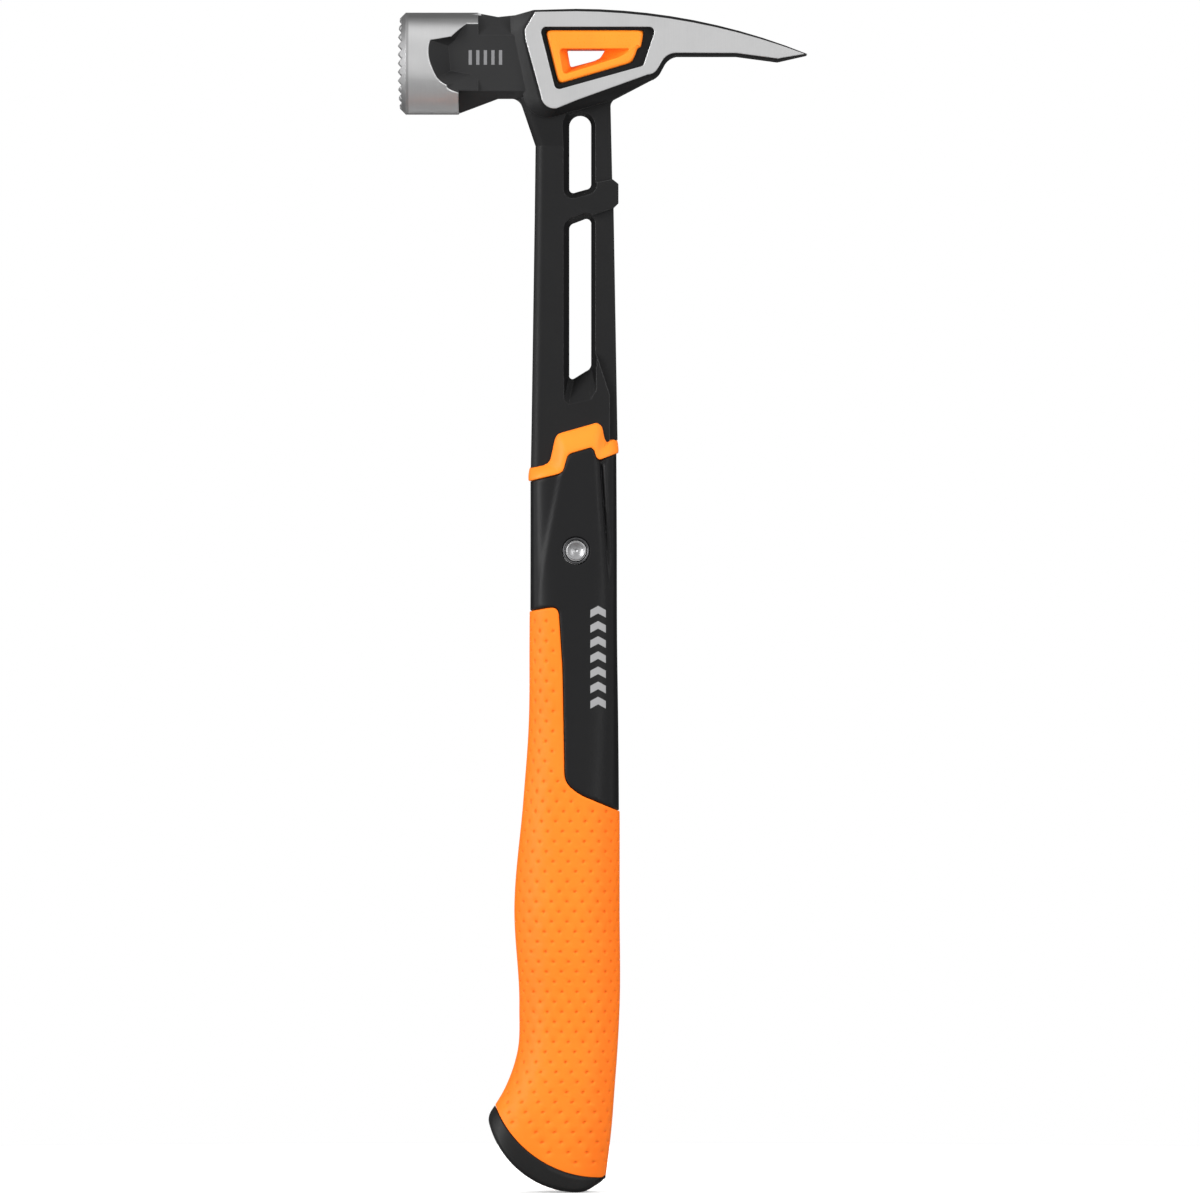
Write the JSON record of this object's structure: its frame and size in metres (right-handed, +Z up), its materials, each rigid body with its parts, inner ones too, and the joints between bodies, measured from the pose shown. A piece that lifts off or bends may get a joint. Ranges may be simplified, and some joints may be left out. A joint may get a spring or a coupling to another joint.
{
  "type": "claw hammer",
  "caption": "Framing hammer with a milled face, straight rip claw, open forged shaft and a dimpled, isolated handle.",
  "frame": {"origin": "on the handle's axis at the level of the lowest point of the butt, in the plane of symmetry", "axes": "+Z up the handle to the head, -X towards the striking face, +X towards the claw, +Y to the tool's far side"},
  "size_m": [0.1406, 0.035, 0.4064],
  "materials": {
    "black_forging": "fine matte black coating on the forging",
    "ground_steel": "ground steel with a fine grain",
    "orange_plastic": "satin moulded plastic",
    "orange_elastomer": "satin elastomer",
    "black_nylon": "satin moulded nylon",
    "orange_grip": "matte soft grip with dimples",
    "black_cap": "matte moulded"
  },
  "bodies": {
    "root": {"forged_head": "black_forging", "window_insert": "orange_plastic", "isolation_sleeve": "orange_elastomer", "handle_shell": "black_nylon", "soft_grip": "orange_grip", "butt_cap": "black_cap", "cross_pin": "ground_steel", "pin_sleeve": "ground_steel"}
  },
  "joints": []
}
